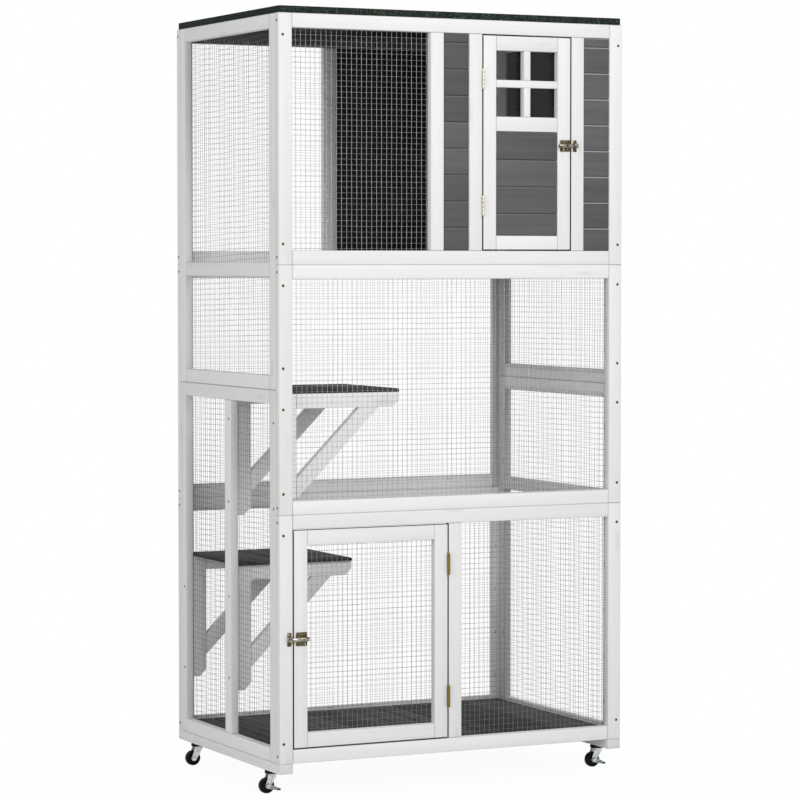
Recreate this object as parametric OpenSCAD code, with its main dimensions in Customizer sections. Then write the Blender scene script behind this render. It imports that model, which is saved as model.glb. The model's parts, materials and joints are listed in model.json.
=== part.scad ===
// Outdoor cat house on casters: a tall mesh run with two shelves and a planked sleeping house at the top.
// Millimetres, +Z up, +X to the right, the front faces -Y. The origin lies on the ground, under the middle of the frames.

/* [Overall] */
// Width over the two side panels
frame_w = 890; // [840:1:1100]
// Depth over the front and back panels
frame_d = 605; // [585:1:800]
// Height of each of the three panels at the front and at the back
panel_h = 566; // [556:1:640]

/* [Sticks] */
// Width of a frame stick
stick_w = 34; // [30:1:38]
// Width of the panels' rails, which are trimmed a little
rail_w = 32.5; // [30:0.5:36]
// Thickness of a frame stick
stick_t = 18; // [16:1:20]
// Width of the middle stick of the lower left panel
mid_stile_w = 38; // [34:1:44]
// Distance of this stick in front of the panel's middle
mid_stile_off = 7.5; // [0:0.5:20]
// Joint line left where one stick meets another
joint_line = 0.2; // [0.1:0.1:0.4]

/* [Bays] */
// Width of the open bay beside the house
run_bay_w = 349; // [330:1:360]
// Width of the plank strip left of the house door
strip_w = 66; // [50:1:72]
// Width of the house doorway
house_doorway_w = 235.5; // [215:0.5:245]
// Width of the lower doorway
lower_doorway_w = 396; // [340:1:420]
// Height of the small bay of the lower right panel
side_bay_h = 222; // [200:1:240]
// Depth of the upper side panels' middle rail below the top panel
side_rail_drop = 27; // [20:1:60]

/* [Mesh] */
// Spacing of the net's wires
net_pitch = 76.2; // [60:0.1:120]
// Width of a net wire
net_wire = 1.6; // [1:0.1:2.5]
// Thickness of the net
net_t = 1; // [0.6:0.1:1.2]
// How far a net laps over its frame
net_lap = 7; // [4:1:7]

/* [Boards] */
// Face width of a tongue-and-groove board
board_pitch = 60.8; // [50:0.1:80]
// Thickness of the planks in the panels
plank_t = 10; // [8:0.5:12]
// Set-back of the planks from the outer face of their panel
plank_recess = 3; // [1:0.5:4]
// Face width of the trimmed board under the top rail
top_board_h = 22; // [15:1:50]
// Thickness of the floor and shelf boards
thin_board_t = 8; // [6:0.5:9]
// Depth of the V along each board joint
vee = 2.5; // [1:0.1:2.8]
// Length of a board's tongue
tongue = 4; // [2:0.5:6]

/* [Floors] */
// Depth of each floor's top below the top of the rails round it
floor_drop = 8; // [4:0.5:8.5]
// Side of the square cleats under the floors
cleat = 16; // [12:1:16]
// Clearance round the floor boards
floor_gap = 0.5; // [0.3:0.1:2]
// Distance of the house floor's free edge from the left edge of the dividing posts
floor_edge_in = 27; // [18:1:33]

/* [Shelves] */
// Height of the upper shelf's top above the bottom of the panels
upper_shelf_h = 848; // [760:1:860]
// Height of the lower shelf's top above the bottom of the panels
lower_shelf_h = 435; // [360:1:500]
// Reach of the shelves from the left panel
shelf_reach = 293; // [280:1:340]
// Overhang of the upper shelf behind its rear bracket
shelf_overhang = 13; // [5:1:40]
// Length of both arms of a bracket
bracket_arm = 294; // [240:1:320]
// Distance from a bracket's inner corner to its brace, along either arm
brace_reach = 158; // [100:1:180]
// Bevel at the foot of a bracket
foot_bevel = 18; // [4:1:26]
// Chamfer under the tip of a bracket
tip_chamfer = 16; // [4:1:26]

/* [Doors] */
// Gap round each door
door_gap = 2.5; // [2.4:0.1:4]
// Height of the window opening
window_h = 153; // [120:0.5:180]
// Width of the house door's bottom rail
door_foot_h = 32.5; // [26:0.5:40]
// Face width of the board under the door's middle rail
door_board_h = 66; // [40:1:75]
// Face width of the door's other boards
door_board_pitch = 62.6; // [50:0.1:80]
// Set-back of the door's planks
door_recess = 2; // [0.5:0.5:3]
// Width of the window bars
bar_w = 17; // [12:1:24]
// Thickness of the window pane
pane_t = 2; // [1.5:0.1:3]
// How far the pane laps over its frame
pane_lap = 8; // [5:1:12]

/* [Hinges] */
// Length of the house door's hinges
house_hinge_h = 47; // [40:1:60]
// Distance of these hinges from the ends of the house door
house_hinge_in = 78; // [50:0.5:100]
// Length of the lower door's hinges
lower_hinge_h = 50; // [40:1:60]
// Distance of the upper one from the top of the lower door
lower_hinge_top = 66.5; // [50:0.5:100]
// Distance of the lower one from the foot of the lower door
lower_hinge_foot = 70.5; // [50:0.5:100]
// Thickness of a hinge leaf
leaf_t = 1; // [0.8:0.05:1]
// Width of a hinge leaf
leaf_w = 14; // [10:0.5:15]
// Diameter of the hinge barrels
barrel_d = 6.5; // [5.5:0.1:8]
// Diameter of the hinge pins
pin_d = 2.6; // [2:0.1:3.2]
// Clearance between a bore and the pin, bolt or axle in it
running_gap = 0.05; // [0.03:0.01:0.09]
// Gap between two knuckles
knuckle_gap = 0.3; // [0.2:0.1:0.6]
// Number of knuckles of a hinge
knuckles = 5; // [3:2:7]

/* [Latches] */
// Width of a latch body
latch_w = 27; // [24:0.5:30]
// Height of the house door's latch
house_latch_h = 27; // [24:1:34]
// Diameter of the house door's bolt
house_bolt_d = 7; // [5:0.1:8]
// Height of this latch above the foot of the house door
house_latch_z = 243.5; // [180:0.5:260]
// Height of the lower door's latch
lower_latch_h = 31; // [27:1:36]
// Diameter of the lower door's bolt
lower_bolt_d = 8; // [6:0.1:9]
// Height of this latch above the foot of the lower door
lower_latch_z = 248.5; // [180:0.5:300]
// Travel of the bolts
bolt_throw = 13.5; // [12.5:0.1:14.5]
// Distance of the house door's latch from the edge of its door
house_latch_edge = 1; // [0.5:0.1:5]
// Distance of the lower door's latch from the edge of its door
lower_latch_edge = 5; // [0.5:0.1:5]
// Distance of a keeper from the doorway
keeper_edge = 4; // [3:0.1:6]
// Width of a keeper
keeper_w = 10; // [7:0.5:11]
// Thickness of the latch plates and keepers
latch_plate_t = 1.2; // [0.8:0.1:2]
// Wall of the latch barrels
latch_wall = 1.45; // [1.2:0.05:2]
// Space left round a bolt in its keeper
keeper_gap = 0.7; // [0.5:0.1:1]
// Diameter of the finger piece
finger_d = 3.2; // [2.4:0.1:4]
// Length of the finger piece below the bolt
finger_l = 9; // [6:0.5:14]

/* [Roof] */
// Set-back of the roof from the outer faces of the panels
roof_inset = 3.5; // [0:0.5:10]
// Thickness of the roof board
roof_board_t = 13; // [6:0.5:18]
// Thickness of the felt on top
felt_t = 3; // [2:0.5:5]
// Thickness of the felt down the edges
felt_edge_t = 1.5; // [1:0.5:3]

/* [Casters] */
// Height of a caster
caster_h = 54; // [52:1:60]
// Height of the two bearers above the casters
bearer_h = 23; // [18:1:40]
// Distance of the casters from the ends of their bearer
caster_in = 81; // [50:1:140]
// Diameter of the wheels
wheel_d = 36; // [32:1:38]
// Width of the wheels
wheel_w = 15; // [12:0.5:17]
// Trail of the wheel behind its swivel
trail = 14; // [10:0.5:16]
// Diameter of the round swivel housing
housing_d = 27.5; // [27:0.5:32]
// Height of the swivel housing
housing_h = 5; // [4:0.5:7]
// Diameter of the fork's round crown
crown_d = 26; // [25.5:0.5:27]
// Thickness of the fork's crown
crown_t = 2.5; // [1.5:0.1:3]
// Thickness of the fork's cheeks
cheek_t = 2; // [1.2:0.1:2.2]
// Diameter of the kingpin
kingpin_d = 8; // [6:0.5:10]
// Diameter of the axles
axle_d = 5; // [4:0.5:6]
// Radius of the boss round the axle
boss_r = 6.5; // [6:0.1:7.5]
// Reach of the brake lever from the axle
lever_reach = 31; // [28:0.5:34]
// Depth of the brake pedal's top below the axle
lever_drop = 8; // [6:0.5:9]

/* [Hidden] */
$fn = 48;

whitewash = "#ececea";
grey_wash = "#5f5f5f";
dark_board = "#4a4a4a";
wire_grey = "#9a9d9a";
felt_green = "#1f2a22";
pale_brass = "#b59a55";
old_brass = "#6b6438";
zinc = "#b8bcc0";
rubber_black = "#191919";

// Heights, from the ground up
z_base = caster_h + bearer_h;
z_mid = z_base + panel_h;
z_top = z_mid + panel_h;
z_roof = z_top + panel_h;
side_h = 3 * panel_h / 2;
z_side = z_base + side_h;
side_rail_z = z_top - side_rail_drop;
side_d = frame_d - 2 * stick_t;

// Places across the front
post_a = stick_w + run_bay_w;
post_b = post_a + stick_w + strip_w;
doorway_l = post_b + stick_w;
doorway_r = doorway_l + house_doorway_w;
post_d = stick_w + lower_doorway_w;
bay_low = z_top + rail_w;
bay_high = z_roof - rail_w;

// The free edge of the house floor
house_floor_x = post_a + floor_edge_in;

// The shelves and their brackets
shelf_x = stick_t + net_t;
mid_stile_y = stick_t + (side_d - mid_stile_w) / 2 - mid_stile_off;
bracket_front = stick_t + net_t + 2;
bracket_mid = mid_stile_y + 5;
bracket_rear = frame_d - stick_t - stick_w + 2;

// The doors
house_door_x = doorway_l + door_gap;
house_door_w = house_doorway_w - 2 * door_gap;
house_door_z = bay_low + door_gap;
house_door_h = panel_h - 2 * rail_w - 2 * door_gap;
window_z = house_door_z + house_door_h - stick_w - window_h;
lower_door_x = stick_w + door_gap;
lower_door_w = lower_doorway_w - 2 * door_gap;
lower_door_z = z_base + rail_w + door_gap;
lower_door_h = panel_h - 2 * rail_w - 2 * door_gap;

// The hinges: the pins stand in front of the gap beside each door
pin_y = -barrel_d / 2 - 0.25;
house_pin_x = doorway_l + door_gap / 2;
lower_pin_x = post_d - door_gap / 2;

// The casters
wheel_r = wheel_d / 2;
crown_top = caster_h - housing_h - 0.3;
crown_low = crown_top - crown_t;
cheek_y = wheel_w / 2 + 0.6;
lever_t = 1.5;
caster_x = stick_w / 2;

// Everything is laid out from the front left corner of the frames and then centred
module place() {
    translate([-frame_w / 2, -frame_d / 2, 0]) children();
}

// A straight stick or board between two opposite corners
module stick(p, q) {
    translate(p) cube(q - p);
}

// Frame of one panel, standing on y = 0: two full-height stiles with the rails between them
module panel_frame(w, h, foot = rail_w, head = rail_w) {
    stick([0, 0, 0], [stick_w, stick_t, h]);
    stick([w - stick_w, 0, 0], [w, stick_t, h]);
    rail(w, 0, foot);
    rail(w, h - head, head);
}

module rail(w, z, high) {
    stick([stick_w + joint_line, 0, z], [w - stick_w - joint_line, stick_t, z + high]);
}

// A post between two rails
module post(x, w, z0, z1) {
    stick([x, 0, z0 + joint_line], [x + w, stick_t, z1 - joint_line]);
}

module on_left(z) {
    translate([stick_t, stick_t, z]) rotate([0, 0, 90]) children();
}

module on_right(z) {
    translate([frame_w, stick_t, z]) rotate([0, 0, 90]) children();
}

module on_back(z) {
    translate([0, frame_d - stick_t, z]) children();
}

module bearers() color(whitewash) place() {
    for (x = [0, frame_w - stick_w]) stick([x, 0, caster_h], [x + stick_w, frame_d, z_base]);
}

module front_frame_top() color(whitewash) place() translate([0, 0, z_top]) {
    panel_frame(frame_w, panel_h);
    for (x = [post_a, post_b, doorway_r]) post(x, stick_w, rail_w, panel_h - rail_w);
}

module front_frame_middle() color(whitewash) place() translate([0, 0, z_mid]) panel_frame(frame_w, panel_h);

module front_frame_bottom() color(whitewash) place() translate([0, 0, z_base]) {
    panel_frame(frame_w, panel_h);
    post(post_d, stick_w, rail_w, panel_h - rail_w);
}

module back_frame_top() color(whitewash) place() on_back(z_top) {
    panel_frame(frame_w, panel_h);
    post(post_a, stick_w, rail_w, panel_h - rail_w);
}

module back_frame_middle() color(whitewash) place() on_back(z_mid) panel_frame(frame_w, panel_h);

module back_frame_bottom() color(whitewash) place() on_back(z_base) panel_frame(frame_w, panel_h);

// The upper side panels have a small bay below and a tall bay above
module upper_side_frame() {
    panel_frame(side_d, side_h);
    rail(side_d, side_rail_z - z_side, rail_w);
}

module left_frame_upper() color(whitewash) place() on_left(z_side) upper_side_frame();

module left_frame_lower() color(whitewash) place() on_left(z_base) {
    panel_frame(side_d, side_h);
    post(mid_stile_y - stick_t, mid_stile_w, rail_w, side_h - rail_w);
}

module right_frame_upper() color(whitewash) place() on_right(z_side) upper_side_frame();

// The same panel turned upside down
module right_frame_lower() color(whitewash) place() on_right(z_base) {
    panel_frame(side_d, side_h);
    rail(side_d, side_h - 2 * rail_w - side_bay_h, rail_w);
}

// Welded mesh as a flat net in the plane z = 0, with square gaps
module net(w, h) {
    nx = max(1, round((w - net_wire) / net_pitch));
    ny = max(1, round((h - net_wire) / net_pitch));
    px = (w - net_wire) / nx;
    py = (h - net_wire) / ny;
    gap = [px - net_wire, py - net_wire];
    square_corners = [[0, 0], [1, 0], [1, 1], [0, 1]];
    gaps = [
        for (i = [0 : nx - 1], j = [0 : ny - 1], c = square_corners)
            [net_wire + i * px + c[0] * gap[0], net_wire + j * py + c[1] * gap[1]]
    ];
    rings = [for (k = [0 : nx * ny]) [4 * k, 4 * k + 1, 4 * k + 2, 4 * k + 3]];
    linear_extrude(net_t) polygon(points = concat([for (c = square_corners) [c[0] * w, c[1] * h]], gaps), paths = rings);
}

// A net behind an opening of a front or back panel, from corner to corner of the opening
module net_across(x0, x1, y, z0, z1) {
    translate([x0 - net_lap, y + net_t, z0 - net_lap]) rotate([90, 0, 0])
        net(x1 - x0 + 2 * net_lap, z1 - z0 + 2 * net_lap);
}

// The same for a side panel
module net_along(x, z0, z1) {
    d0 = stick_t + stick_w - net_lap;
    translate([x, d0, z0 - net_lap]) rotate([90, 0, 90]) net(frame_d - 2 * d0, z1 - z0 + 2 * net_lap);
}

module mesh_front_bay() color(wire_grey) place() net_across(stick_w, post_a, stick_t, bay_low, bay_high);

module mesh_front_middle() color(wire_grey) place()
    net_across(stick_w, frame_w - stick_w, stick_t, z_mid + rail_w, z_top - rail_w);

module mesh_front_bottom() color(wire_grey) place()
    net_across(post_d + stick_w, frame_w - stick_w, stick_t, z_base + rail_w, z_mid - rail_w);

module mesh_back() color(wire_grey) place() {
    y = frame_d - stick_t - net_t;
    net_across(stick_w, post_a, y, bay_low, bay_high);
    for (z = [z_base, z_mid]) net_across(stick_w, frame_w - stick_w, y, z + rail_w, z + panel_h - rail_w);
}

module mesh_left_upper() color(wire_grey) place() net_along(stick_t, z_side + rail_w, z_roof - rail_w);

module mesh_left_lower() color(wire_grey) place() net_along(stick_t, z_base + rail_w, z_side - rail_w);

module mesh_right_upper() color(wire_grey) place()
    net_along(frame_w - stick_t - net_t, z_side + rail_w, side_rail_z);

module mesh_right_lower() color(wire_grey) place()
    net_along(frame_w - stick_t - net_t, z_base + rail_w, z_side - rail_w);

// Joints between boards that fill lo to hi, where the board at hi has its own face width
function board_joints(lo, hi, first, pitch) =
    concat([hi], [for (s = hi - first; s > lo + tongue + 5; s = s - pitch) s], [lo]);

// Outline of one board as [depth behind its face, place across the boards], with a tongue up and a groove down
function board_outline(lo, hi, t, has_tongue, has_groove) =
    let (a = lo + joint_line / 2, b = hi - joint_line / 2, n = [0.5 * t, 0.75 * t], c = 0.2)
    concat(
        [[0, a + vee], [0, b - vee], [vee, b]],
        has_tongue ? [[n[0], b], [n[0], b + tongue], [n[1], b + tongue], [n[1], b]] : [],
        [[t, b], [t, a]],
        has_groove ? [[n[1] + c, a], [n[1] + c, a + tongue + 0.5], [n[0] - c, a + tongue + 0.5], [n[0] - c, a]] : [],
        [[vee, a]]
    );

// Outlines of all boards of a field
function board_field(lo, hi, first, t, pitch = board_pitch) =
    let (s = board_joints(lo, hi, first, pitch), n = len(s) - 1)
    [for (i = [0 : n - 1]) board_outline(s[i + 1], s[i], t, i > 0, i < n - 1)];

// Level boards that fill a bay of a front or back panel; way is 1 where their face looks to the front
module boards_across(x0, x1, y, way, z0, z1, first, t, pitch = board_pitch) {
    for (b = board_field(z0 + joint_line, z1 - joint_line, first, t, pitch))
        translate([x0 + joint_line, 0, 0]) rotate([90, 0, 90]) linear_extrude(x1 - x0 - 2 * joint_line)
            polygon([for (p = b) [y + way * p[0], p[1]]]);
}

// Level boards in a wall that runs front to back; way is 1 where their face looks to the left
module boards_along(y0, y1, x, way, z0, z1, first, t) {
    for (b = board_field(z0 + joint_line, z1 - joint_line, first, t))
        translate([0, y1 - joint_line, 0]) rotate([90, 0, 0]) linear_extrude(y1 - y0 - 2 * joint_line)
            polygon([for (p = b) [x + way * p[0], p[1]]]);
}

// Boards of a floor or shelf, side by side and running front to back
module boards_flat(x0, x1, y0, y1, top) {
    for (b = board_field(x0, x1, board_pitch, thin_board_t))
        translate([0, y1, 0]) rotate([90, 0, 0]) linear_extrude(y1 - y0) polygon([for (p = b) [p[1], top - p[0]]]);
}

module front_planks() color(grey_wash) place() {
    for (x = [[post_a + stick_w, post_b], [doorway_r + stick_w, frame_w - stick_w]])
        boards_across(x[0], x[1], plank_recess, 1, bay_low, bay_high, top_board_h, plank_t);
}

module back_planks() color(grey_wash) place()
    boards_across(
        post_a + stick_w, frame_w - stick_w, frame_d - plank_recess, -1, bay_low, bay_high, top_board_h, plank_t
    );

module right_planks() color(grey_wash) place()
    boards_along(
        stick_t + stick_w, frame_d - stick_t - stick_w, frame_w - plank_recess, -1,
        side_rail_z + rail_w, bay_high, top_board_h, plank_t
    );

module house_floor() color(dark_board) place()
    boards_flat(
        house_floor_x, frame_w - stick_t - floor_gap, stick_t + floor_gap, frame_d - stick_t - floor_gap,
        bay_low - floor_drop
    );

module floor_boards() color(dark_board) place()
    boards_flat(
        stick_t + floor_gap, frame_w - stick_t - floor_gap, stick_t + floor_gap, frame_d - stick_t - floor_gap,
        z_base + rail_w - floor_drop
    );

// Four cleats round a floor, fixed to the rails
module cleat_ring(x0, x1, top) {
    y0 = stick_t;
    y1 = frame_d - stick_t;
    for (y = [y0, y1 - cleat]) stick([x0, y, top - cleat], [x1, y + cleat, top]);
    for (x = [x0, x1 - cleat])
        stick([x, y0 + cleat + joint_line, top - cleat], [x + cleat, y1 - cleat - joint_line, top]);
}

module floor_cleats() color(whitewash) place() {
    cleat_ring(stick_t, frame_w - stick_t, z_base + rail_w - floor_drop - thin_board_t);
    cleat_ring(house_floor_x, frame_w - stick_t, bay_low - floor_drop - thin_board_t);
}

module upper_shelf() color(dark_board) place()
    boards_flat(
        shelf_x, shelf_x + shelf_reach, bracket_front - 1, bracket_mid + stick_t + shelf_overhang,
        z_base + upper_shelf_h
    );

module lower_shelf() color(dark_board) place()
    boards_flat(shelf_x, shelf_x + shelf_reach, bracket_mid - 6, bracket_rear + stick_t + 2, z_base + lower_shelf_h);

// Two arms and a slanted brace, each a stick on edge
module bracket(y, top) {
    a = bracket_arm;
    w = stick_w;
    i = w + joint_line;
    r = brace_reach;
    e = brace_reach + w * sqrt(2);
    translate([shelf_x, y + stick_t, top]) rotate([90, 0, 0]) {
        linear_extrude(stick_t) polygon([[0, 0], [w, 0], [w, foot_bevel - a], [w - foot_bevel, -a], [0, -a]]);
        linear_extrude(stick_t) polygon([[i, 0], [a, 0], [a, tip_chamfer - w], [a - tip_chamfer, -w], [i, -w]]);
        linear_extrude(stick_t) polygon([[i, -i - r], [i + r, -i], [i + e, -i], [i, -i - e]]);
    }
}

module shelf_brackets() color(whitewash) place() {
    for (y = [bracket_front, bracket_mid]) bracket(y, z_base + upper_shelf_h - thin_board_t);
    for (y = [bracket_mid, bracket_rear]) bracket(y, z_base + lower_shelf_h - thin_board_t);
}

module roof_board() color(felt_green) place()
    stick(
        [roof_inset + felt_edge_t, roof_inset + felt_edge_t, z_roof],
        [frame_w - roof_inset - felt_edge_t, frame_d - roof_inset - felt_edge_t, z_roof + roof_board_t]
    );

// The felt is folded down over the board's edges
module roof_felt() color(felt_green) place() difference() {
    stick(
        [roof_inset, roof_inset, z_roof + 0.5],
        [frame_w - roof_inset, frame_d - roof_inset, z_roof + roof_board_t + felt_t]
    );
    stick(
        [roof_inset + felt_edge_t, roof_inset + felt_edge_t, z_roof],
        [frame_w - roof_inset - felt_edge_t, frame_d - roof_inset - felt_edge_t, z_roof + roof_board_t]
    );
}

// Half of a butt hinge on its pin at the origin. The leaf lies on the side named by way, against wood that is
// door_gap / 2 away, and its knuckles are the odd or the even ones.
module hinge_half(h, way, first, bored) {
    k = h / knuckles;
    x = way > 0 ? door_gap / 2 - leaf_t : -door_gap / 2;
    difference() {
        union() {
            translate([x, barrel_d / 2 + 0.55, 0]) cube([leaf_t, leaf_w, h]);
            for (i = [first : 2 : knuckles - 1])
                translate([0, 0, i * k + (i > 0 ? knuckle_gap / 2 : 0)]) {
                    long = k - (i > 0 ? knuckle_gap / 2 : 0) - (i < knuckles - 1 ? knuckle_gap / 2 : 0);
                    cylinder(d = barrel_d, h = long);
                    translate([x, 0, 0]) cube([leaf_t, barrel_d / 2 + 1, long]);
                }
            if (!bored) cylinder(d = pin_d, h = h);
        }
        if (bored) translate([0, 0, -1]) cylinder(d = pin_d + 2 * running_gap, h = h + 2);
    }
}

function house_hinge_zs() =
    [house_door_z + house_hinge_in, house_door_z + house_door_h - house_hinge_in - house_hinge_h];

function lower_hinge_zs() =
    [lower_door_z + lower_hinge_foot, lower_door_z + lower_door_h - lower_hinge_top - lower_hinge_h];

// The halves on the posts carry the pins
module hinge_post_leaves() color(pale_brass) place() {
    for (z = house_hinge_zs()) translate([house_pin_x, pin_y, z]) hinge_half(house_hinge_h, -1, 0, false);
    for (z = lower_hinge_zs()) translate([lower_pin_x, pin_y, z]) hinge_half(lower_hinge_h, 1, 0, false);
}

module house_door_frame() color(whitewash) place() translate([house_door_x, 0, house_door_z]) {
    panel_frame(house_door_w, house_door_h, door_foot_h, stick_w);
    rail(house_door_w, window_z - stick_w - house_door_z, stick_w);
}

// A cross of bars that splits the window into four
module house_door_bars() color(whitewash) place() {
    x0 = house_door_x + stick_w + joint_line;
    x1 = house_door_x + house_door_w - stick_w - joint_line;
    xm = house_door_x + (house_door_w - bar_w) / 2;
    zm = window_z + (window_h - bar_w) / 2;
    stick([x0, 0, zm], [x1, stick_t, zm + bar_w]);
    post(xm, bar_w, window_z, zm);
    post(xm, bar_w, zm + bar_w, window_z + window_h);
}

module house_door_pane() color("#dfe8e8", 0.35) place()
    stick(
        [house_door_x + stick_w - pane_lap, stick_t, window_z - pane_lap],
        [house_door_x + house_door_w - stick_w + pane_lap, stick_t + pane_t, window_z + window_h + pane_lap]
    );

module house_door_planks() color(grey_wash) place()
    boards_across(
        house_door_x + stick_w, house_door_x + house_door_w - stick_w, door_recess, 1, house_door_z + door_foot_h,
        window_z - stick_w, door_board_h, plank_t, door_board_pitch
    );

module house_door_leaves() color(pale_brass) place()
    for (z = house_hinge_zs()) translate([house_pin_x, pin_y, z]) hinge_half(house_hinge_h, 1, 1, true);

// Places of a latch: the bolt's axis lies this far in front of the wood
function bolt_y(d) = -(latch_plate_t - 0.6 + d / 2 + running_gap + latch_wall);

// Barrel of a slide bolt on its plate, seen with the doorway's edge to the right at x = 0. The slot below
// lets the finger piece travel.
module latch_body(h, d) {
    y = bolt_y(d);
    r = d / 2 + running_gap;
    finger = latch_finger_x();
    translate([-latch_w, 0, 0]) difference() {
        union() {
            translate([0, -latch_plate_t, -h / 2]) cube([latch_w, latch_plate_t, h]);
            translate([0, y, 0]) rotate([0, 90, 0]) cylinder(r = r + latch_wall, h = latch_w);
        }
        translate([-1, y, 0]) rotate([0, 90, 0]) cylinder(r = r, h = latch_w + 2);
        translate([finger - finger_d / 2 - 0.4, y - finger_d / 2 - 0.3, -r - latch_wall - 1])
            cube([bolt_throw + finger_d + 0.8, finger_d + 0.6, r + latch_wall + 1]);
    }
}

// Where the finger piece stands in a withdrawn latch, from the barrel's far end
function latch_finger_x() = (latch_w - bolt_throw) / 2;

// A round bolt with its finger piece, drawn back so that the door can swing. Its end is level with the keeper.
module bolt(d, tip) {
    long = latch_w + tip + 5;
    translate([tip - long, bolt_y(d), 0]) rotate([0, 90, 0]) cylinder(d = d, h = long);
    translate([latch_finger_x() - latch_w, bolt_y(d), -d / 2 - finger_l]) cylinder(d = finger_d, h = d / 2 + finger_l);
}

// A bent strap that the bolt slides into, with a foot above and below
module keeper(h, d) {
    n = d / 2 + keeper_gap;
    o = n + latch_plate_t;
    y = bolt_y(d) - n;
    f = y - latch_plate_t;
    b = 1.6;
    rotate([90, 0, 90]) linear_extrude(keeper_w) polygon([
        [0, -h / 2], [0, -n], [y + b, -n], [y, b - n], [y, n - b], [y + b, n], [0, n], [0, h / 2],
        [-latch_plate_t, h / 2], [-latch_plate_t, o], [f + b + 0.5, o], [f, o - b - 0.5], [f, b + 0.5 - o],
        [f + b + 0.5, -o], [-latch_plate_t, -o], [-latch_plate_t, -h / 2]
    ]);
}

// Where the edge of each door and the latch heights lie
house_edge = house_door_x + house_door_w - house_latch_edge;
lower_edge = lower_door_x + lower_latch_edge;
house_latch_at = house_door_z + house_latch_z;
lower_latch_at = lower_door_z + lower_latch_z;
function tip_out(edge) = edge + door_gap + keeper_edge - 0.5;

module latch_keepers() color(old_brass) place() {
    translate([doorway_r + keeper_edge, 0, house_latch_at]) keeper(house_latch_h, house_bolt_d);
    translate([stick_w - keeper_edge - keeper_w, 0, lower_latch_at]) keeper(lower_latch_h, lower_bolt_d);
}

module house_latch_body() color(old_brass) place()
    translate([house_edge, 0, house_latch_at]) latch_body(house_latch_h, house_bolt_d);

module house_bolt() color(old_brass) place()
    translate([house_edge, 0, house_latch_at]) bolt(house_bolt_d, tip_out(house_latch_edge));

module lower_latch_body() color(old_brass) place()
    translate([lower_edge, 0, lower_latch_at]) mirror([1, 0, 0]) latch_body(lower_latch_h, lower_bolt_d);

module lower_bolt() color(old_brass) place()
    translate([lower_edge, 0, lower_latch_at]) mirror([1, 0, 0]) bolt(lower_bolt_d, tip_out(lower_latch_edge));

module lower_door_frame() color(whitewash) place()
    translate([lower_door_x, 0, lower_door_z]) panel_frame(lower_door_w, lower_door_h, stick_w, stick_w);

module lower_door_mesh() color(wire_grey) place()
    net_across(
        lower_door_x + stick_w, lower_door_x + lower_door_w - stick_w, stick_t, lower_door_z + stick_w,
        lower_door_z + lower_door_h - stick_w
    );

module lower_door_leaves() color(pale_brass) place()
    for (z = lower_hinge_zs()) translate([lower_pin_x, pin_y, z]) hinge_half(lower_hinge_h, -1, 1, true);

// Swivel housing under a bearer, with the kingpin that the fork hangs on
module caster_tops() color(rubber_black) place() {
    for (p = [for (x = [caster_x, frame_w - caster_x], y = [caster_in, frame_d - caster_in]) [x, y]])
        translate([p[0], p[1], 0]) {
            translate([0, 0, caster_h - housing_h]) cylinder(d = housing_d, h = housing_h);
            translate([0, 0, crown_low - 2.3]) cylinder(d = kingpin_d, h = caster_h - crown_low);
            translate([0, 0, crown_low - 2.3]) cylinder(d = kingpin_d + 5, h = 2);
        }
}

// Side view of a fork's cheek: it slopes back from the crown to the axle's boss
module cheek_outline() {
    axle = [-trail, wheel_r];
    s = crown_d / 2 - 3.8;
    polygon([
        [-s, crown_top], [s, crown_top], [s, crown_low - 3],
        axle + boss_r * [cos(-35), sin(-35)], axle + boss_r * [cos(170), sin(170)]
    ]);
    translate(axle) circle(r = boss_r);
}

// Fork with its riveted axle; side is the outer reach of the axle's heads
module caster_fork(side) {
    difference() {
        union() {
            translate([0, 0, crown_low]) cylinder(d = crown_d, h = crown_t);
            for (y = [-cheek_y, cheek_y + cheek_t])
                translate([0, y, 0]) rotate([90, 0, 0]) linear_extrude(cheek_t) cheek_outline();
        }
        translate([0, 0, crown_low - 1]) cylinder(d = kingpin_d + 2 * running_gap, h = crown_t + 2);
    }
    translate([-trail, 0, wheel_r]) rotate([90, 0, 0]) {
        cylinder(d = axle_d, h = 2 * side, center = true);
        for (z = [-side, side - 2]) translate([0, 0, z]) cylinder(d = axle_d + 4, h = 2);
    }
}

rear_reach = cheek_y + cheek_t + 2;
front_reach = cheek_y + cheek_t + lever_t + 2.6;

module caster_fork_fl() color(zinc) place() translate([caster_x, caster_in, 0]) caster_fork(front_reach);

module caster_fork_fr() color(zinc) place() translate([frame_w - caster_x, caster_in, 0]) caster_fork(front_reach);

module caster_fork_rl() color(zinc) place() translate([caster_x, frame_d - caster_in, 0]) caster_fork(rear_reach);

module caster_fork_rr() color(zinc) place()
    translate([frame_w - caster_x, frame_d - caster_in, 0]) caster_fork(rear_reach);

// Solid wheel with a hub, a dished web and bevelled shoulders
module wheel() {
    h = wheel_w / 2;
    b = axle_d / 2 + running_gap;
    hub = b + 3.5;
    rim = wheel_r - 4;
    translate([-trail, 0, wheel_r]) rotate([90, 0, 0]) rotate_extrude() polygon([
        [b, -h], [hub, -h], [hub + 1, 3 - h], [rim - 1, 3 - h], [rim, 0.5 - h], [wheel_r - 2, 0.5 - h],
        [wheel_r, 3 - h], [wheel_r, h - 3], [wheel_r - 2, h - 0.5], [rim, h - 0.5], [rim - 1, h - 3],
        [hub + 1, h - 3], [hub, h], [b, h]
    ]);
}

module caster_wheel_fl() color(rubber_black) place() translate([caster_x, caster_in, 0]) wheel();

module caster_wheel_fr() color(rubber_black) place() translate([frame_w - caster_x, caster_in, 0]) wheel();

module caster_wheel_rl() color(rubber_black) place() translate([caster_x, frame_d - caster_in, 0]) wheel();

module caster_wheel_rr() color(rubber_black) place() translate([frame_w - caster_x, frame_d - caster_in, 0]) wheel();

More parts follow.
